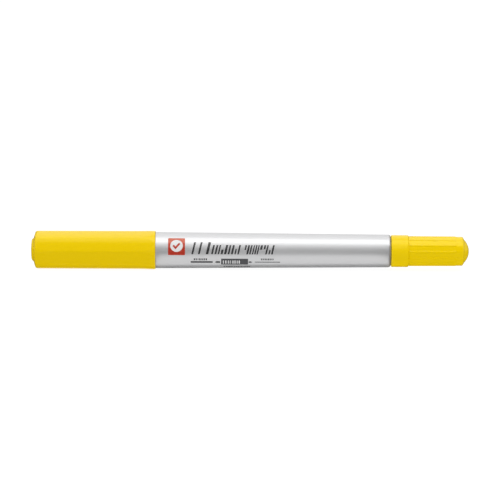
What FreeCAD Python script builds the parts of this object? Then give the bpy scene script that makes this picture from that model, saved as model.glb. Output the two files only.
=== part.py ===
import FreeCAD, Part
import os
from math import asin, cos, radians, sin, sqrt, tan

# Twin-tip marker lying along X: fine end and large cap at -X, extra-fine end and small cap at +X.
# A station is a distance in millimetres along the pen, counted from the large cap's end.
# The origin is on the table under the pen's middle, and +Z is up.

LENGTH = 140.0
AXIS_HEIGHT = 6.17

# Large cap: a turned body cut by eight crowned facets, which fade out at the mouth
LARGE_CAP_MOUTH = 39.83
LARGE_CAP_RIM_RADIUS = 6.17
LARGE_CAP_END_FACE = 0.83
LARGE_CAP_END_SLOPE = 0.30
LARGE_CAP_END_WALL = 2.1
LARGE_CAP_END_ROUNDING = 0.85
LARGE_CAP_BORE = 5.0
LARGE_CAP_INSIDE = 4.8
LARGE_CAP_BORE_FLOOR = 31.2
LAND_RADIUS = 6.04
LAND_TAPER = 0.0018
LAND_END = 35.6
LAND_END_ROUNDING = 20.0
RIM_START = 38.0
RIM_START_ROUNDING = 24.0
RIM_ROUNDING = 0.25
FACETS = 8
FACET_TURN = 20.4
FACET_APOTHEM = 5.82
FACET_CROWN_RADIUS = 15.0
FACET_FLARE_START = 33.5
FACET_FLARE_RADIUS = 50.0

# Seal cup inside the large cap, with the round button that shows in the cap's end
LARGE_BUTTON_RADIUS = 3.80
LARGE_BUTTON_DOME = 22.0
LARGE_BUTTON_RISE = 0.29
LARGE_CUP_FLANGE_RADIUS = 4.78
LARGE_CUP_RADIUS = 4.0
LARGE_CUP_BORE = 3.34
LARGE_CUP_FLOOR = 2.2
LARGE_CUP_MOUTH = 30.4

# Small cap: a plain mouth band, a ribbed body and a domed end button
SMALL_CAP_MOUTH = 115.07
SMALL_CAP_BAND_RADIUS = 5.12
SMALL_CAP_BAND_END = 120.42
SMALL_CAP_BODY_START = 120.75
SMALL_CAP_BODY_RADIUS = 4.72
SMALL_CAP_END_RADIUS = 4.64
SMALL_CAP_END = 138.5
SMALL_CAP_END_SLOPE = 0.55
SMALL_CAP_END_WALL = 137.15
SMALL_CAP_BORE = 4.10
SMALL_CAP_INSIDE = 3.95
SMALL_CAP_BORE_FLOOR = 122.0
RIBS = 14
RIB_PHASE = 3.5
RIB_RADIUS = 0.5
RIB_HEIGHT = 0.14
RIB_END = 135.6

# Seal cup inside the small cap
SMALL_BUTTON_RADIUS = 3.66
SMALL_BUTTON_BASE = 138.5
SMALL_BUTTON_DOME = 5.2
SMALL_CUP_FLANGE_RADIUS = 3.93
SMALL_CUP_RADIUS = 3.45
SMALL_CUP_BORE = 2.94
SMALL_CUP_FLOOR = 137.7
SMALL_CUP_MOUTH = 123.2

# Barrel: a straight taper
BARREL_START = 39.85
BARREL_END = 114.92
BARREL_START_RADIUS = 5.80
BARREL_START_ROUNDING = 0.05
BARREL_END_RADIUS = 5.23
BARREL_END_ROUNDING = 0.75
BARREL_BORE = 4.30

# Fine section: plug in the barrel, neck under the cap, nose in the seal cup
FINE_NECK_RADIUS = 4.92
FINE_NECK_END = 31.4
FINE_NOSE_RADIUS = 3.30
FINE_NOSE_END = 26.0
FINE_CONE_END = 20.0
FINE_CONE_RADIUS = 1.75
FINE_PLUG_END = 50.0
FINE_SNAP_STATION = 34.6

# Extra-fine section
EXTRA_FLANGE_RADIUS = 4.65
EXTRA_FLANGE_THICKNESS = 0.12
EXTRA_NECK_RADIUS = 4.05
EXTRA_NECK_END = 121.6
EXTRA_NOSE_RADIUS = 2.90
EXTRA_NOSE_END = 126.2
EXTRA_CONE_END = 129.4
EXTRA_CONE_RADIUS = 1.20
EXTRA_PLUG_END = 103.8
EXTRA_SNAP_STATION = 118.0

# Nibs, needle pipe and ink reservoir
FINE_NIB_RADIUS = 1.25
FINE_NIB_TIP = 15.5
FINE_NIB_TAIL = 48.5
PIPE_RADIUS = 0.75
PIPE_START = 124.6
PIPE_END = 131.8
EXTRA_NIB_RADIUS = 0.36
EXTRA_NIB_TIP = 132.9
EXTRA_NIB_TAIL = 105.0
RESERVOIR_START = 42.5
RESERVOIR_END = 111.5
RESERVOIR_RADIUS = 3.60
SLEEVE_THICKNESS = 0.12
SLEEVE_SETBACK = 1.0
RESERVOIR_CUP_BORE = 3.80

# Small features and clearances
SNAP_HEIGHT = 0.03
SNAP_HALF_WIDTH = 0.6
VENT_SIZE = 0.5
CUP_FLANGE_THICKNESS = 0.9
BORE_LEAD = 0.35
NOSE_LEAD = 0.3
ASSEMBLY_GAP = 0.02
BUTTON_GROOVE = 0.04
BEYOND = 1.0

AXIS = FreeCAD.Vector(1, 0, 0)
CENTRE = FreeCAD.Vector(0, 0, 0)
TOUCHING = 1e-6


def corner(before, point, after, radius):
    """Tangent arc that rounds the corner at point, as (start, middle, end)."""
    back = (before - point).normalize()
    ahead = (after - point).normalize()
    half = back.getAngle(ahead) / 2
    reach = radius / tan(half)
    centre = point + (back + ahead).normalize() * (radius / sin(half))
    middle = centre + (point - centre).normalize() * radius
    return point + back * reach, middle, point + ahead * reach


def outline_wire(outline):
    """Closed wire through (station, radius) points, rounded where a point adds a corner radius."""
    points = [FreeCAD.Vector(p[0], 0, p[1]) for p in outline]
    edges = []
    stops = []
    for i, given in enumerate(outline):
        if len(given) == 2:
            stops.append((points[i], points[i]))
            continue
        start, middle, end = corner(points[i - 1], points[i], points[(i + 1) % len(points)], given[2])
        edges.append(Part.Arc(start, middle, end).toShape())
        stops.append((start, end))
    for i, stop in enumerate(stops):
        start, end = stops[i - 1][1], stop[0]
        if start.distanceToPoint(end) > TOUCHING:
            edges.append(Part.LineSegment(start, end).toShape())
    return Part.Wire(Part.__sortEdges__(edges))


def turned(outline):
    """Solid of revolution about the pen's axis."""
    return Part.Face(outline_wire(outline)).revolve(CENTRE, AXIS, 360)


def tube(start, end, outer, inner):
    return turned([(start, inner), (start, outer), (end, outer), (end, inner)])


def rod(start, end, radius):
    return Part.makeCylinder(radius, end - start, FreeCAD.Vector(start, 0, 0), AXIS)


def snap_ring(station, radius):
    """Low rounded ring proud of a neck, or the matching groove when cut from a bore."""
    return turned([
        (station - SNAP_HALF_WIDTH, radius - SNAP_HEIGHT),
        (station - SNAP_HALF_WIDTH / 3, radius + SNAP_HEIGHT),
        (station + SNAP_HALF_WIDTH / 3, radius + SNAP_HEIGHT),
        (station + SNAP_HALF_WIDTH, radius - SNAP_HEIGHT),
    ])


def facet_section(station, scale):
    """Octagon whose sides are shallow outward arcs."""
    apothem = FACET_APOTHEM * scale
    crown = FACET_CROWN_RADIUS * scale
    offset = crown - apothem
    half_step = radians(180 / FACETS)
    vertex_radius = sqrt(crown ** 2 - (offset * sin(half_step)) ** 2) - offset * cos(half_step)

    def around(radius, angle):
        return FreeCAD.Vector(station, -radius * sin(angle), radius * cos(angle))

    edges = []
    for k in range(FACETS):
        middle = radians(FACET_TURN) + 2 * half_step * k
        start = around(vertex_radius, middle - half_step)
        end = around(vertex_radius, middle + half_step)
        edges.append(Part.Arc(start, around(apothem, middle), end).toShape())
    return Part.Wire(Part.__sortEdges__(edges))


def facet_prism():
    """Faceted bar that flares slightly towards the cap's mouth."""
    straight = Part.Face(facet_section(-BEYOND, 1.0)).extrude(AXIS * (FACET_FLARE_START + BEYOND))
    sections = []
    steps = 5
    flare_length = LARGE_CAP_MOUTH + BEYOND - FACET_FLARE_START
    for k in range(steps + 1):
        run = flare_length * k / steps
        scale = 1 + run ** 2 / (2 * FACET_FLARE_RADIUS * FACET_APOTHEM)
        sections.append(facet_section(FACET_FLARE_START + run, scale))
    flare = Part.makeLoft(sections, True, False)
    return straight.fuse(flare)


def large_cap_body():
    """Outside of the large cap: a turned envelope cut by the facets, with a rounded closed end."""
    land_end_radius = LAND_RADIUS + LAND_TAPER * LAND_END
    end_centre = LARGE_CAP_END_FACE - LARGE_BUTTON_RADIUS * LARGE_CAP_END_SLOPE
    end_corner = end_centre + LAND_RADIUS * LARGE_CAP_END_SLOPE
    envelope = turned([
        (end_centre, 0),
        (end_corner, LAND_RADIUS + LAND_TAPER * end_corner),
        (LAND_END, land_end_radius, LAND_END_ROUNDING),
        (RIM_START, LARGE_CAP_RIM_RADIUS, RIM_START_ROUNDING),
        (LARGE_CAP_MOUTH, LARGE_CAP_RIM_RADIUS, RIM_ROUNDING),
        (LARGE_CAP_MOUTH, 0),
    ])
    body = envelope.common(facet_prism()).Solids[0]
    end_edges = [e for e in body.Edges if end_corner / 2 < e.BoundBox.XMin and e.BoundBox.XMax < end_corner * 1.2]
    return body.makeFillet(LARGE_CAP_END_ROUNDING, end_edges)


def large_cap_shell():
    """Large cap's outer shell, open at the mouth and holed at the closed end for the seal cup's button."""
    hole = LARGE_BUTTON_RADIUS + ASSEMBLY_GAP
    inside = turned([
        (-BEYOND, 0),
        (-BEYOND, hole),
        (LARGE_CAP_END_WALL, hole),
        (LARGE_CAP_END_WALL, LARGE_CAP_INSIDE),
        (LARGE_CAP_BORE_FLOOR - BORE_LEAD, LARGE_CAP_INSIDE),
        (LARGE_CAP_BORE_FLOOR, LARGE_CAP_BORE),
        (LARGE_CAP_MOUTH - BORE_LEAD, LARGE_CAP_BORE),
        (LARGE_CAP_MOUTH + BEYOND, LARGE_CAP_BORE + BORE_LEAD + BEYOND),
        (LARGE_CAP_MOUTH + BEYOND, 0),
    ])
    return large_cap_body().cut(inside).cut(snap_ring(FINE_SNAP_STATION, LARGE_CAP_BORE))


def large_cap_seal_cup():
    """Inner cup that seals over the fine nose; its round base is the button in the cap's end."""
    flange = LARGE_CAP_END_WALL + ASSEMBLY_GAP
    return turned([
        (0, 0),
        (0, LARGE_BUTTON_RADIUS * 0.4, LARGE_BUTTON_DOME),
        (LARGE_BUTTON_RISE, LARGE_BUTTON_RADIUS, 1.0),
        (flange, LARGE_BUTTON_RADIUS),
        (flange, LARGE_CUP_FLANGE_RADIUS),
        (flange + CUP_FLANGE_THICKNESS, LARGE_CUP_FLANGE_RADIUS),
        (flange + CUP_FLANGE_THICKNESS, LARGE_CUP_RADIUS, 0.4),
        (LARGE_CUP_MOUTH, LARGE_CUP_RADIUS, 0.25),
        (LARGE_CUP_MOUTH, LARGE_CUP_BORE, 0.25),
        (LARGE_CUP_FLOOR, LARGE_CUP_BORE, 0.3),
        (LARGE_CUP_FLOOR, 0),
    ])


def small_cap_body():
    """Outside of the small cap before its ribs."""
    end_corner = SMALL_CAP_END - (SMALL_CAP_END_RADIUS - SMALL_BUTTON_RADIUS) * SMALL_CAP_END_SLOPE
    return turned([
        (SMALL_CAP_MOUTH, 0),
        (SMALL_CAP_MOUTH, SMALL_CAP_BAND_RADIUS, 0.35),
        (SMALL_CAP_BAND_END, SMALL_CAP_BAND_RADIUS, 0.08),
        (SMALL_CAP_BODY_START, SMALL_CAP_BODY_RADIUS, 0.1),
        (end_corner, SMALL_CAP_END_RADIUS, 0.6),
        (SMALL_CAP_END, SMALL_BUTTON_RADIUS),
        (SMALL_CAP_END, 0),
    ])


def small_cap_ribs():
    """Fine raised ribs along the small cap, following the body's draft and rounded off at the far end."""
    length = RIB_END - SMALL_CAP_BODY_START
    draft = (SMALL_CAP_BODY_RADIUS - SMALL_CAP_END_RADIUS) / (SMALL_CAP_END - SMALL_CAP_BODY_START)
    start_radius = SMALL_CAP_BODY_RADIUS + RIB_HEIGHT - RIB_RADIUS
    start = FreeCAD.Vector(SMALL_CAP_BODY_START, 0, start_radius)
    end = FreeCAD.Vector(RIB_END, 0, start_radius - draft * length)
    rib = Part.makeCylinder(RIB_RADIUS, (end - start).Length, start, end - start)
    rib = rib.fuse(Part.makeSphere(RIB_RADIUS, end))
    ribs = []
    for k in range(RIBS):
        angle = 90 - RIB_PHASE + k * 360 / RIBS
        ribs.append(rib.rotated(CENTRE, AXIS, angle))
    return ribs


def small_cap_shell():
    """Small cap's outer shell, open at the mouth and holed at the closed end for its button."""
    hole = SMALL_BUTTON_RADIUS + BUTTON_GROOVE
    inside = turned([
        (SMALL_CAP_MOUTH - BEYOND, 0),
        (SMALL_CAP_MOUTH - BEYOND, SMALL_CAP_BORE + BORE_LEAD + BEYOND),
        (SMALL_CAP_MOUTH + BORE_LEAD, SMALL_CAP_BORE),
        (SMALL_CAP_BORE_FLOOR, SMALL_CAP_BORE),
        (SMALL_CAP_BORE_FLOOR + BORE_LEAD, SMALL_CAP_INSIDE),
        (SMALL_CAP_END_WALL, SMALL_CAP_INSIDE),
        (SMALL_CAP_END_WALL, hole),
        (SMALL_CAP_END + BEYOND, hole),
        (SMALL_CAP_END + BEYOND, 0),
    ])
    shell = small_cap_body().fuse(small_cap_ribs())
    return shell.cut(inside).cut(snap_ring(EXTRA_SNAP_STATION, SMALL_CAP_BORE))


def small_cap_seal_cup():
    """Inner cup that seals over the extra-fine nose; its domed base is the small cap's end button."""
    flange = SMALL_CAP_END_WALL - ASSEMBLY_GAP
    dome_angle = asin(SMALL_BUTTON_RADIUS / SMALL_BUTTON_DOME)
    dome_corner = SMALL_BUTTON_DOME * tan(dome_angle / 2)
    return turned([
        (LENGTH, 0),
        (LENGTH, dome_corner, SMALL_BUTTON_DOME - 0.05),
        (SMALL_BUTTON_BASE, SMALL_BUTTON_RADIUS),
        (flange, SMALL_BUTTON_RADIUS),
        (flange, SMALL_CUP_FLANGE_RADIUS),
        (flange - CUP_FLANGE_THICKNESS, SMALL_CUP_FLANGE_RADIUS),
        (flange - CUP_FLANGE_THICKNESS, SMALL_CUP_RADIUS, 0.3),
        (SMALL_CUP_MOUTH, SMALL_CUP_RADIUS, 0.2),
        (SMALL_CUP_MOUTH, SMALL_CUP_BORE, 0.2),
        (SMALL_CUP_FLOOR, SMALL_CUP_BORE, 0.3),
        (SMALL_CUP_FLOOR, 0),
    ])


def barrel():
    """Tapered tube between the two caps."""
    return turned([
        (BARREL_START, BARREL_BORE),
        (BARREL_START, BARREL_START_RADIUS, BARREL_START_ROUNDING),
        (BARREL_END, BARREL_END_RADIUS, BARREL_END_ROUNDING),
        (BARREL_END, BARREL_BORE),
    ])


def fine_section():
    """Holder pressed into the barrel's wide end: plug, cap neck, nose and cone around the fine nib."""
    body = turned([
        (FINE_CONE_END, 0),
        (FINE_CONE_END, FINE_CONE_RADIUS, 0.2),
        (FINE_NOSE_END, FINE_NOSE_RADIUS - NOSE_LEAD, 0.8),
        (FINE_NOSE_END + NOSE_LEAD, FINE_NOSE_RADIUS, 0.3),
        (FINE_NECK_END, FINE_NOSE_RADIUS, 0.15),
        (FINE_NECK_END, FINE_NECK_RADIUS, 0.5),
        (BARREL_START, FINE_NECK_RADIUS),
        (BARREL_START, BARREL_BORE),
        (FINE_PLUG_END, BARREL_BORE, 0.3),
        (FINE_PLUG_END, 0),
    ])
    body = body.fuse(snap_ring(FINE_SNAP_STATION, FINE_NECK_RADIUS))
    body = body.cut(rod(RESERVOIR_START, FINE_PLUG_END + BEYOND, RESERVOIR_CUP_BORE))
    body = body.cut(rod(FINE_CONE_END - BEYOND, RESERVOIR_START + BEYOND, FINE_NIB_RADIUS))
    return body.cut(vent(FINE_CONE_END - BEYOND, RESERVOIR_START + BEYOND, FINE_NIB_RADIUS))


def vent(start, end, bore):
    """Air channel along a nib bore."""
    corner_point = FreeCAD.Vector(start, -VENT_SIZE / 2, bore - VENT_SIZE / 2)
    return Part.makeBox(end - start, VENT_SIZE, VENT_SIZE * 0.8, corner_point)


def fine_nib():
    """Bullet-shaped fibre nib with its tail in the reservoir."""
    return turned([
        (FINE_NIB_TIP, 0),
        (FINE_NIB_TIP, 0.62, 0.55),
        (FINE_NIB_TIP + 2.3, FINE_NIB_RADIUS, 2.5),
        (FINE_NIB_TAIL, FINE_NIB_RADIUS),
        (FINE_NIB_TAIL, 0),
    ])


def extra_fine_section():
    """Holder pressed into the barrel's narrow end: plug, flange, cap neck, nose and cone."""
    flange_end = BARREL_END + EXTRA_FLANGE_THICKNESS
    body = turned([
        (EXTRA_PLUG_END, 0),
        (EXTRA_PLUG_END, BARREL_BORE, 0.3),
        (BARREL_END, BARREL_BORE),
        (BARREL_END, EXTRA_FLANGE_RADIUS),
        (flange_end, EXTRA_FLANGE_RADIUS),
        (flange_end, EXTRA_NECK_RADIUS),
        (EXTRA_NECK_END, EXTRA_NECK_RADIUS, 0.4),
        (EXTRA_NECK_END, EXTRA_NOSE_RADIUS, 0.15),
        (EXTRA_NOSE_END - NOSE_LEAD, EXTRA_NOSE_RADIUS, 0.3),
        (EXTRA_NOSE_END, EXTRA_NOSE_RADIUS - NOSE_LEAD, 0.6),
        (EXTRA_CONE_END, EXTRA_CONE_RADIUS, 0.2),
        (EXTRA_CONE_END, 0),
    ])
    body = body.fuse(snap_ring(EXTRA_SNAP_STATION, EXTRA_NECK_RADIUS))
    body = body.cut(rod(EXTRA_PLUG_END - BEYOND, RESERVOIR_END, RESERVOIR_CUP_BORE))
    body = body.cut(rod(RESERVOIR_END - BEYOND, PIPE_START, EXTRA_NIB_RADIUS))
    return body.cut(rod(PIPE_START, EXTRA_CONE_END + BEYOND, PIPE_RADIUS))


def extra_fine_tip_pipe():
    """Needle pipe that carries the extra-fine nib out of the cone."""
    return turned([
        (PIPE_START, EXTRA_NIB_RADIUS),
        (PIPE_START, PIPE_RADIUS),
        (PIPE_END - 0.7, PIPE_RADIUS, 1.0),
        (PIPE_END, EXTRA_NIB_RADIUS + 0.12, 0.05),
        (PIPE_END, EXTRA_NIB_RADIUS),
    ])


def extra_fine_nib():
    """Slender plastic nib with a rounded point and its tail in the reservoir."""
    return turned([
        (EXTRA_NIB_TAIL, 0),
        (EXTRA_NIB_TAIL, EXTRA_NIB_RADIUS),
        (EXTRA_NIB_TIP, EXTRA_NIB_RADIUS, EXTRA_NIB_RADIUS * 0.8),
        (EXTRA_NIB_TIP, 0),
    ])


def ink_reservoir():
    """Fibre rod soaked with ink, with a blind hole in each end for a nib's tail."""
    body = rod(RESERVOIR_START, RESERVOIR_END, RESERVOIR_RADIUS)
    body = body.cut(rod(RESERVOIR_START - BEYOND, FINE_NIB_TAIL, FINE_NIB_RADIUS))
    return body.cut(rod(EXTRA_NIB_TAIL, RESERVOIR_END + BEYOND, EXTRA_NIB_RADIUS))


def reservoir_sleeve():
    """Film wrapped around the fibre rod."""
    outer = RESERVOIR_RADIUS + SLEEVE_THICKNESS
    return tube(RESERVOIR_START + SLEEVE_SETBACK, RESERVOIR_END - SLEEVE_SETBACK, outer, RESERVOIR_RADIUS)


PIECES = [
    barrel,
    fine_section,
    fine_nib,
    extra_fine_section,
    extra_fine_tip_pipe,
    extra_fine_nib,
    ink_reservoir,
    reservoir_sleeve,
    large_cap_shell,
    large_cap_seal_cup,
    small_cap_shell,
    small_cap_seal_cup,
]

os.makedirs("parts", exist_ok=True)
for piece in PIECES:
    solid = piece().removeSplitter()
    solid.translate(FreeCAD.Vector(-LENGTH / 2, 0, AXIS_HEIGHT))
    solid.exportStep(f"parts/{piece.__name__}.step")
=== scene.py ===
import math
import random

import bmesh
import bpy
from mathutils import Matrix, Vector


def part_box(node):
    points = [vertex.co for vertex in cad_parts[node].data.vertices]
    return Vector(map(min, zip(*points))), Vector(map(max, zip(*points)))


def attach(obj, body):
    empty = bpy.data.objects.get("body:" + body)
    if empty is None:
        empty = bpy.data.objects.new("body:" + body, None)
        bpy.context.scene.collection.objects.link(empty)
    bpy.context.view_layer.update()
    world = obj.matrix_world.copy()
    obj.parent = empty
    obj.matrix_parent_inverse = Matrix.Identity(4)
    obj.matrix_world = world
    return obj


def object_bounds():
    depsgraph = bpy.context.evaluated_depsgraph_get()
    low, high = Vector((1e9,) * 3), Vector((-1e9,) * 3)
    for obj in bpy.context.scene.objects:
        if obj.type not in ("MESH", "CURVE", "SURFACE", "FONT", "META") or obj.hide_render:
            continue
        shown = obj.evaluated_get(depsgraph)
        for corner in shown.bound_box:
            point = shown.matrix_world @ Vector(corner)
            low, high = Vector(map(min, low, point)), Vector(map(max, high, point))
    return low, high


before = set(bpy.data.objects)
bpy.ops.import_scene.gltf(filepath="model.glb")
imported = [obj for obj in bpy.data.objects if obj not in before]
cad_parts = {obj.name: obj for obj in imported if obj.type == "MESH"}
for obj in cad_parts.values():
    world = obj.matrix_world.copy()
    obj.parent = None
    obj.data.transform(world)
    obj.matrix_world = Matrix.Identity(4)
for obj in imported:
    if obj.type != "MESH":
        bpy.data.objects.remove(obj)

CAD_BOX = [list(corner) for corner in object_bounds()]
MM = 0.001
SCENE = bpy.context.scene
BARREL_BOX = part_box("barrel")
BARREL_START = BARREL_BOX[0].x
BARREL_END = BARREL_BOX[1].x
AXIS_Z = (BARREL_BOX[0].z + BARREL_BOX[1].z) / 2
PEN_START = CAD_BOX[0][0]
PEN_END = CAD_BOX[1][0]


# ---------------------------------------------------------------- camera

CAMERA_ELEVATION = math.radians(7.0)
CAMERA_ROLL = math.radians(0.23)
CAMERA_DISTANCE = 1.1
CAMERA_LIFT = 0.13 * MM
VIEW_WIDTH = 160 * MM
SENSOR_WIDTH = 36


def aim(obj, target, roll=0.0):
    """Turns a camera or light at obj.location towards target."""
    direction = Vector(target) - obj.location
    turn = direction.to_track_quat("-Z", "Y").to_matrix()
    obj.rotation_euler = (turn @ Matrix.Rotation(roll, 3, "Z")).to_euler()


def make_camera():
    """Long lens level with the pen's side, a little above it."""
    data = bpy.data.cameras.new("camera")
    data.sensor_width = SENSOR_WIDTH
    data.lens = SENSOR_WIDTH * CAMERA_DISTANCE / VIEW_WIDTH
    data.clip_start = 0.05
    data.clip_end = 50
    camera = bpy.data.objects.new("camera", data)
    SCENE.collection.objects.link(camera)
    target = Vector((0, 0, AXIS_Z + CAMERA_LIFT))
    away = Vector((0, -math.cos(CAMERA_ELEVATION), math.sin(CAMERA_ELEVATION)))
    camera.location = target + CAMERA_DISTANCE * away
    aim(camera, target, CAMERA_ROLL)
    SCENE.camera = camera


# ---------------------------------------------------------------- studio

# The camera sees a white floor. Reflections and bounced light come from cards that the camera doesn't see:
# dark ones in front of and under the caps, graded ones in front of and under the barrel.
# The dark strips under the caps and the grey one under the barrel are painted shadow: they stand in for the pen's
# contact shadow in reflections.

WORLD_STRENGTH = 1.03
SOFTBOX_PLACE = (0, -0.38, 1.15)
SOFTBOX_SIZE = (3.2, 0.8)
SOFTBOX_POWER = 11.3
FLOOR_X = (-6, 6)
FLOOR_Y = (-3, 9)
FLOOR_GLOW = 0.93
BOUNCE_GLOW = 0.95
BOUNCE_DROP = 0.2 * MM
BLACK_CARD = 0.05
GREY_CARD = 0.3
STRIP_HEIGHT = 0.5 * MM
SIDE_DISTANCE = 0.8
FRONT_DISTANCE = 1.3
CAP_CARD_DISTANCE = 30 * MM
CAP_CARD_RANGE = (1 * MM, 36 * MM)
LEFT_CARD_GAP = 6 * MM
RIGHT_CARD_GAP = 7 * MM
FAR = 1
STRIP_FRONT = -0.3
STRIP_BACK = 12 * MM


def plane(name, corners):
    mesh = bpy.data.meshes.new(name)
    mesh.from_pydata(corners, [], [(0, 1, 2, 3)])
    obj = bpy.data.objects.new(name, mesh)
    SCENE.collection.objects.link(obj)
    return obj


def paper(name, brightness, glow):
    """Matt grey material with a white glow."""
    nodes = Nodes(name)
    nodes.set(Base_Color=(brightness,) * 3 + (1,), Roughness=0.9, Specular_IOR_Level=0.0)
    nodes.set(Emission_Color=(1, 1, 1, 1), Emission_Strength=glow)
    return nodes.material


def card(name, corners, brightness, only_gloss=False, glow=0.0):
    """Studio card that the camera doesn't see. With only_gloss it shows in reflections and nowhere else."""
    obj = plane(name, corners)
    obj.data.materials.append(paper(name, brightness, glow))
    obj.visible_camera = False
    if only_gloss:
        obj.visible_diffuse = False
        obj.visible_shadow = False
        obj.visible_transmission = False


def level_corners(x_range, y_range, height):
    (x0, x1), (y0, y1) = x_range, y_range
    return [(x0, y0, height), (x1, y0, height), (x1, y1, height), (x0, y1, height)]


def upright_corners(start, end, z_range):
    (x0, y0), (x1, y1) = start, end
    low, high = z_range
    return [(x0, y0, low), (x1, y1, low), (x1, y1, high), (x0, y0, high)]


def make_world():
    world = bpy.data.worlds.new("studio")
    SCENE.world = world
    world.use_nodes = True
    background = world.node_tree.nodes["Background"]
    background.inputs["Color"].default_value = (1, 1, 1, 1)
    background.inputs["Strength"].default_value = WORLD_STRENGTH


def make_floor():
    """White floor for the camera alone, and a glowing one just under it that lights the pen from below."""
    floor = plane("floor", level_corners(FLOOR_X, FLOOR_Y, 0))
    floor.data.materials.append(paper("floor_paper", 0.12, FLOOR_GLOW))
    floor.visible_diffuse = False
    floor.visible_glossy = False
    floor.visible_shadow = False
    card("floor_bounce", level_corners(FLOOR_X, FLOOR_Y, -BOUNCE_DROP), 0.1, glow=BOUNCE_GLOW)


def make_upright_cards():
    front = upright_corners((-2.5, -FRONT_DISTANCE), (2.5, -FRONT_DISTANCE), (0.01, 0.6))
    card("front_card", front, 0.325)
    for side, x in (("left", -SIDE_DISTANCE), ("right", SIDE_DISTANCE)):
        card(side + "_card", upright_corners((x, -FRONT_DISTANCE), (x, 0.8), (0.01, 0.9)), 0.5)
        card(side + "_card_back", upright_corners((x, 0.8), (x, 5), (0.001, 2)), 0.2, True)
    sides = (("left", -FAR, BARREL_START - LEFT_CARD_GAP), ("right", BARREL_END + RIGHT_CARD_GAP, FAR))
    for side, x0, x1 in sides:
        corners = upright_corners((x0, -CAP_CARD_DISTANCE), (x1, -CAP_CARD_DISTANCE), CAP_CARD_RANGE)
        card("cap_front_" + side, corners, BLACK_CARD, True)


def make_level_cards():
    """Strips just over the floor for the undersides, and a glow over the pen's back. The strips under the pen are
    painted shadow for its contact shadow in reflections.
    """
    barrel = (BARREL_START, BARREL_END)
    before = (-FAR, BARREL_START)
    after = (BARREL_END, FAR)
    strips = (
        # Black strips under the caps: painted shadow, standing in for the pen's contact shadow in reflections
        ("cap_painted_shadow_left", before, (STRIP_FRONT, STRIP_BACK), BLACK_CARD, 0.0),
        ("cap_painted_shadow_right", after, (STRIP_FRONT, STRIP_BACK), BLACK_CARD, 0.0),
        ("end_strip_left", (-SIDE_DISTANCE, PEN_START), (STRIP_BACK, FAR), BLACK_CARD, 0.0),
        ("end_strip_right", (PEN_END, SIDE_DISTANCE), (STRIP_BACK, FAR), BLACK_CARD, 0.0),
        ("barrel_strip_front", barrel, (STRIP_FRONT, -18 * MM), GREY_CARD, 0.0),
        ("barrel_strip_glow", barrel, (-18 * MM, -3.4 * MM), GREY_CARD, 0.7),
        # Grey strip under the barrel: partly painted shadow, with no glow and darker than the strip in front, partly
        # real shadow cast on it by the pen
        ("barrel_painted_shadow_under", barrel, (-3.4 * MM, STRIP_BACK), 0.72, 0.0),
    )
    for name, x_range, y_range, brightness, glow in strips:
        card(name, level_corners(x_range, y_range, STRIP_HEIGHT), brightness, True, glow)
    card("back_glow", level_corners((-3, 3), (0.2, 1.2), 1.2), BLACK_CARD, True, 1.2)


def make_softbox():
    data = bpy.data.lights.new("top_softbox", "AREA")
    data.shape = "RECTANGLE"
    data.size, data.size_y = SOFTBOX_SIZE
    data.energy = SOFTBOX_POWER
    light = bpy.data.objects.new("top_softbox", data)
    SCENE.collection.objects.link(light)
    light.location = SOFTBOX_PLACE
    aim(light, (0, 0, 0))


# ---------------------------------------------------------------- materials

# Sockets of the colour Mix node, by number, because its names repeat for each data type
MIX_FACTOR, MIX_A, MIX_B, MIX_RESULT = 0, 6, 7, 2


class Nodes:
    """Short way to add linked shader nodes to one material."""

    def __init__(self, name):
        self.material = bpy.data.materials.new(name)
        self.material.use_nodes = True
        self.tree = self.material.node_tree
        self.shader = self.tree.nodes["Principled BSDF"]

    def set(self, **values):
        for key, value in values.items():
            self.shader.inputs[key.replace("_", " ")].default_value = value

    def add(self, kind, **values):
        node = self.tree.nodes.new(kind)
        for key, value in values.items():
            setattr(node, key, value)
        return node

    def link(self, output, target):
        self.tree.links.new(output, target)


def grained(name, colour, roughness, cell, spread=0.04, tint=0.03, bump=0.0, stretch=1.0, **values):
    """Material whose colour and roughness vary with a noise of the given cell size, with a bump of the same grain."""
    nodes = Nodes(name)
    nodes.set(**values)
    place = nodes.add("ShaderNodeTexCoord")
    mapping = nodes.add("ShaderNodeMapping")
    mapping.inputs["Scale"].default_value = (1 / stretch, 1, 1)
    noise = nodes.add("ShaderNodeTexNoise")
    noise.inputs["Scale"].default_value = 1 / cell
    noise.inputs["Detail"].default_value = 3
    nodes.link(place.outputs["Object"], mapping.inputs["Vector"])
    nodes.link(mapping.outputs["Vector"], noise.inputs["Vector"])
    shades = nodes.add("ShaderNodeMix", data_type="RGBA")
    shades.inputs[MIX_A].default_value = (*[c * (1 - tint) for c in colour], 1)
    shades.inputs[MIX_B].default_value = (*[min(c * (1 + tint), 1) for c in colour], 1)
    nodes.link(noise.outputs["Fac"], shades.inputs[MIX_FACTOR])
    nodes.link(shades.outputs[MIX_RESULT], nodes.shader.inputs["Base Color"])
    gloss = nodes.add("ShaderNodeMapRange")
    gloss.inputs["To Min"].default_value = roughness - spread
    gloss.inputs["To Max"].default_value = roughness + spread
    nodes.link(noise.outputs["Fac"], gloss.inputs["Value"])
    nodes.link(gloss.outputs["Result"], nodes.shader.inputs["Roughness"])
    if bump:
        relief = nodes.add("ShaderNodeBump")
        relief.inputs["Distance"].default_value = bump
        nodes.link(noise.outputs["Fac"], relief.inputs["Height"])
        nodes.link(relief.outputs["Normal"], nodes.shader.inputs["Normal"])
    return nodes


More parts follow.
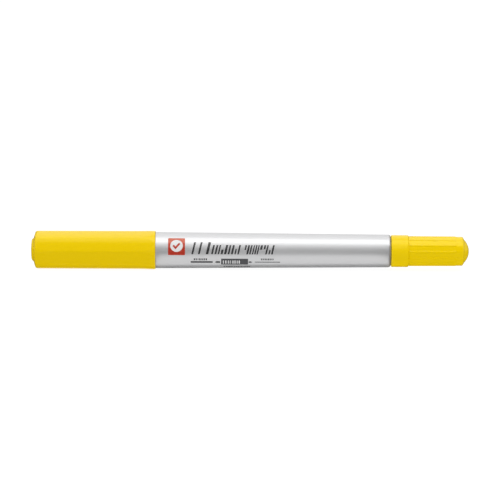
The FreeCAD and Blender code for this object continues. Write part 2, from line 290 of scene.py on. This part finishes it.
def flaked_silver():
    """Satin silver lacquer: a soft cloud in the finish and fine metallic flakes."""
    flake_size = 0.09 * MM
    flake_relief = 0.003 * MM
    nodes = grained("barrel_silver", (0.605, 0.605, 0.611), 0.39, 6 * MM, spread=0.03, tint=0.015, Metallic=0.7)
    place = nodes.add("ShaderNodeTexCoord")
    flakes = nodes.add("ShaderNodeTexVoronoi")
    flakes.inputs["Scale"].default_value = 1 / flake_size
    nodes.link(place.outputs["Object"], flakes.inputs["Vector"])
    relief = nodes.add("ShaderNodeBump")
    relief.inputs["Strength"].default_value = 0.35
    relief.inputs["Distance"].default_value = flake_relief
    nodes.link(flakes.outputs["Distance"], relief.inputs["Height"])
    nodes.link(relief.outputs["Normal"], nodes.shader.inputs["Normal"])
    return nodes


def dress(node, nodes):
    """Gives every material slot of a CAD node's object this material."""
    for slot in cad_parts[node].material_slots:
        slot.material = nodes.material


def dress_nodes():
    moulded = dict(bump=0.0006 * MM, Specular_Tint=(1, 1, 0.4, 1))
    # The large cap's yellow is a darker copy of the small cap's: painted shade for the weaker bounce light under it
    large_yellow_painted_shade = grained("cap_yellow", (0.83, 0.575, 0.0), 0.15, 0.8 * MM, **moulded)
    small_yellow = grained("small_cap_yellow", (0.86, 0.605, 0.0), 0.15, 0.8 * MM, **moulded)
    dark = grained("section_plastic", (0.055, 0.055, 0.06), 0.4, 0.3 * MM, tint=0.1, bump=0.006 * MM)
    felt = grained("nib_fibre", (0.83, 0.70, 0.28), 0.9, 0.07 * MM, tint=0.18, bump=0.03 * MM, stretch=4.0)
    point = grained("nib_plastic", (0.83, 0.72, 0.35), 0.4, 0.2 * MM, tint=0.05, bump=0.003 * MM)
    pipe = grained("tip_pipe", (0.62, 0.62, 0.60), 0.28, 0.8 * MM, tint=0.02, bump=0.002 * MM)
    bundle = grained("reservoir_fibre", (0.80, 0.68, 0.30), 0.9, 0.12 * MM, tint=0.25, bump=0.05 * MM, stretch=40.0)
    film = grained("reservoir_film", (0.85, 0.87, 0.88), 0.12, 3 * MM, bump=0.02 * MM, Alpha=0.4)
    dress("large_cap_shell", large_yellow_painted_shade)
    dress("large_cap_seal_cup", large_yellow_painted_shade)
    dress("small_cap_shell", small_yellow)
    dress("small_cap_seal_cup", small_yellow)
    dress("barrel", flaked_silver())
    dress("fine_section", dark)
    dress("extra_fine_section", dark)
    dress("fine_nib", felt)
    dress("extra_fine_nib", point)
    dress("extra_fine_tip_pipe", pipe)
    dress("ink_reservoir", bundle)
    dress("reservoir_sleeve", film)


# ---------------------------------------------------------------- print on the barrel

# Print outlines are flat loops of (station, height) in millimetres: station counts from the large cap's end,
# height is measured round the barrel from the line that faces the camera.

PRINT_LINE = CAMERA_ELEVATION
BARREL_MOUTH = 39.85
BARREL_WIDE_RADIUS = 5.80
BARREL_NARROW_RADIUS = 5.23
BARREL_LENGTH = 75.0
BARREL_TAPER = (BARREL_WIDE_RADIUS - BARREL_NARROW_RADIUS) / BARREL_LENGTH
INK_THICKNESS = 0.012
WRAP_STEP = 0.2
WRAP_MERGE = 1e-5
SHARP_ANGLE = math.radians(40)
DISC_STEPS = 48
CORNER_STEPS = 6

BADGE = (43.9, 49.3, -1.62, 4.12)
BADGE_DISC = (46.6, 1.42)
BADGE_DISC_RADIUS = 2.0
BADGE_TICK = (46.55, 1.27)
TICK_OUTLINE = ((-0.62, 0.02), (-0.40, 0.24), (-0.14, -0.06), (0.42, 0.56), (0.64, 0.34), (-0.14, -0.50))

TITLE_LEAN = 0.23
TITLE_TALL_BARS = ((51.3, 0.6), (53.4, 0.6), (55.9, 0.8))
TITLE_TALL_HEIGHTS = (-1.30, 2.65)
TITLE_WORDS = ((57.6, 67.4), (67.9, 78.4))
TITLE_HEIGHTS = (-1.26, 1.70)
TITLE_BAR_WIDTHS = (0.4, 0.75)
TITLE_BAR_GAPS = (0.28, 0.55)
TITLE_SHORT_SHARE = 0.25
SHORT_BAR_CUT = (0.45, 0.6)

WIDE_LINE = (51.1, 58.1, -4.45, -3.76)
WIDE_ARROW = (60.45, 58.75, -4.12, 0.5)
NARROW_LINE = (71.5, 79.6, -4.24, -3.93)
NARROW_ARROW = (69.6, 70.75, -4.12, 0.36)

# Rows of small print: start, end, low, high, then the least and greatest bar width and gap
CAPTION_ROWS = (
    (52.1, 56.6, -3.38, -2.70, (0.22, 0.5), (0.14, 0.24)),
    (73.5, 77.8, -3.30, -2.70, (0.2, 0.45), (0.15, 0.26)),
    (61.6, 70.1, -6.95, -6.3, (0.25, 0.6), (0.14, 0.24)),
)
BLOCK = (60.8, 69.4, -5.26, -2.80)
BLOCK_ROW = (61.4, 67.3, -4.75, -3.45, (0.2, 0.38), (0.25, 0.5))


def barrel_radius(station):
    return BARREL_WIDE_RADIUS - BARREL_TAPER * (station - BARREL_MOUTH)


def bar(start, end, low, high, lean=0.0):
    """Four-sided bar whose top is shifted along the pen by lean times its height."""
    shift = lean * (high - low)
    return [(start, low), (end, low), (end + shift, high), (start + shift, high)]


def rounded_bar(start, end, low, high, radius):
    corners = [(end - radius, high - radius, 0), (start + radius, high - radius, 90),
               (start + radius, low + radius, 180), (end - radius, low + radius, 270)]
    loop = []
    for x, y, turn in corners:
        for k in range(CORNER_STEPS + 1):
            angle = math.radians(turn + 90 / CORNER_STEPS * k)
            loop.append((x + radius * math.cos(angle), y + radius * math.sin(angle)))
    return loop


def disc(station, height, radius):
    angles = [2 * math.pi * k / DISC_STEPS for k in range(DISC_STEPS)]
    return [(station + radius * math.cos(a), height + radius * math.sin(a)) for a in angles]


def arrow(tail, tip, height, half):
    """Short arrow along the pen, from tail to tip, whose head is twice half across."""
    way = 1 if tip > tail else -1
    neck = tip - way * 1.6 * half
    shaft = 0.75 * half
    return [(tail, height - shaft), (neck, height - shaft), (neck, height - half), (tip, height),
            (neck, height + half), (neck, height + shaft), (tail, height + shaft)]


def tick(station, height, size):
    """Plain check mark."""
    return [(station + size * x, height + size * y) for x, y in TICK_OUTLINE]


def dummy_text(rng, start, end, low, high, widths, gaps, lean=0.0, short=0.0):
    """Row of plain bars in the rhythm of a line of type, with no letters in it; a share of them is cut short."""
    bars = []
    position = start
    while True:
        width = rng.uniform(*widths)
        if position + width + lean * (high - low) > end:
            return bars
        bottom, top = low, high
        if rng.random() < short:
            middle = low + (high - low) * rng.uniform(*SHORT_BAR_CUT)
            bottom, top = rng.choice(((low, middle), (middle, high)))
        offset = position + lean * (bottom - low)
        bars.append(bar(offset, offset + width, bottom, top, lean))
        position += width + rng.uniform(*gaps)


def wrap(name, loops, nodes, layer=1):
    """Lays thin closed shapes round the barrel as a layer of ink."""
    mesh = bmesh.new()
    for loop in loops:
        mesh.faces.new([mesh.verts.new((x, y, 0)) for x, y in loop])
    bmesh.ops.triangulate(mesh, faces=mesh.faces[:])
    low = min(v.co.y for v in mesh.verts)
    high = max(v.co.y for v in mesh.verts)
    for k in range(math.floor(low / WRAP_STEP) + 1, math.ceil(high / WRAP_STEP)):
        geometry = mesh.verts[:] + mesh.edges[:] + mesh.faces[:]
        cut = (0, k * WRAP_STEP, 0)
        bmesh.ops.bisect_plane(mesh, geom=geometry, dist=WRAP_MERGE, plane_co=cut, plane_no=(0, 1, 0))
    raised = bmesh.ops.extrude_face_region(mesh, geom=mesh.faces[:])["geom"]
    for vert in [v for v in raised if isinstance(v, bmesh.types.BMVert)]:
        vert.co.z = 1
    for vert in mesh.verts:
        station, height, top = vert.co
        radius = barrel_radius(station)
        angle = PRINT_LINE + height / radius
        radius += INK_THICKNESS * layer if top else -INK_THICKNESS
        y = -radius * math.cos(angle)
        z = radius * math.sin(angle)
        vert.co = Vector((PEN_START + station * MM, y * MM, AXIS_Z + z * MM))
    bmesh.ops.recalc_face_normals(mesh, faces=mesh.faces[:])
    data = bpy.data.meshes.new(name)
    mesh.to_mesh(data)
    mesh.free()
    data.polygons.foreach_set("use_smooth", [True] * len(data.polygons))
    data.set_sharp_from_angle(angle=SHARP_ANGLE)
    data.materials.append(nodes.material)
    piece = bpy.data.objects.new(name, data)
    SCENE.collection.objects.link(piece)
    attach(piece, "pen_body")


def make_print():
    rng = random.Random(11)
    grain = 0.5 * MM
    red = grained("ink_red", (0.42, 0.010, 0.0), 0.12, grain, tint=0.08, IOR=1.7, Specular_IOR_Level=0.75,
                  Specular_Tint=(1, 0.75, 0.55, 1))
    white = grained("ink_white", (0.72, 0.72, 0.72), 0.3, grain)
    black = grained("ink_black", (0.010, 0.010, 0.012), 0.24, grain, tint=0.2, Specular_IOR_Level=0.9)
    grey = grained("ink_grey", (0.045, 0.045, 0.05), 0.4, grain, tint=0.1)
    wrap("print_badge", [rounded_bar(*BADGE, 0.25)], red)
    wrap("print_badge_disc", [disc(*BADGE_DISC, BADGE_DISC_RADIUS)], white, 2)
    wrap("print_badge_tick", [tick(*BADGE_TICK, BADGE_DISC_RADIUS)], red, 3)
    title = [bar(start, start + width, *TITLE_TALL_HEIGHTS, TITLE_LEAN) for start, width in TITLE_TALL_BARS]
    for word in TITLE_WORDS:
        style = (TITLE_BAR_WIDTHS, TITLE_BAR_GAPS, TITLE_LEAN, TITLE_SHORT_SHARE)
        title += dummy_text(rng, *word, *TITLE_HEIGHTS, *style)
    wrap("print_title", title, black)
    wrap("print_wide_mark", [bar(*WIDE_LINE), arrow(*WIDE_ARROW)], black)
    wrap("print_narrow_mark", [bar(*NARROW_LINE), arrow(*NARROW_ARROW)], grey)
    captions = []
    for row in CAPTION_ROWS:
        captions += dummy_text(rng, *row)
    wrap("print_captions", captions, black)
    wrap("print_block", [rounded_bar(*BLOCK, 0.12)], grey)
    wrap("print_block_bars", dummy_text(rng, *BLOCK_ROW), white, 2)


make_camera()
make_world()
make_floor()
make_upright_cards()
make_level_cards()
make_softbox()
SCENE.view_settings.view_transform = "Standard"
dress_nodes()
make_print()
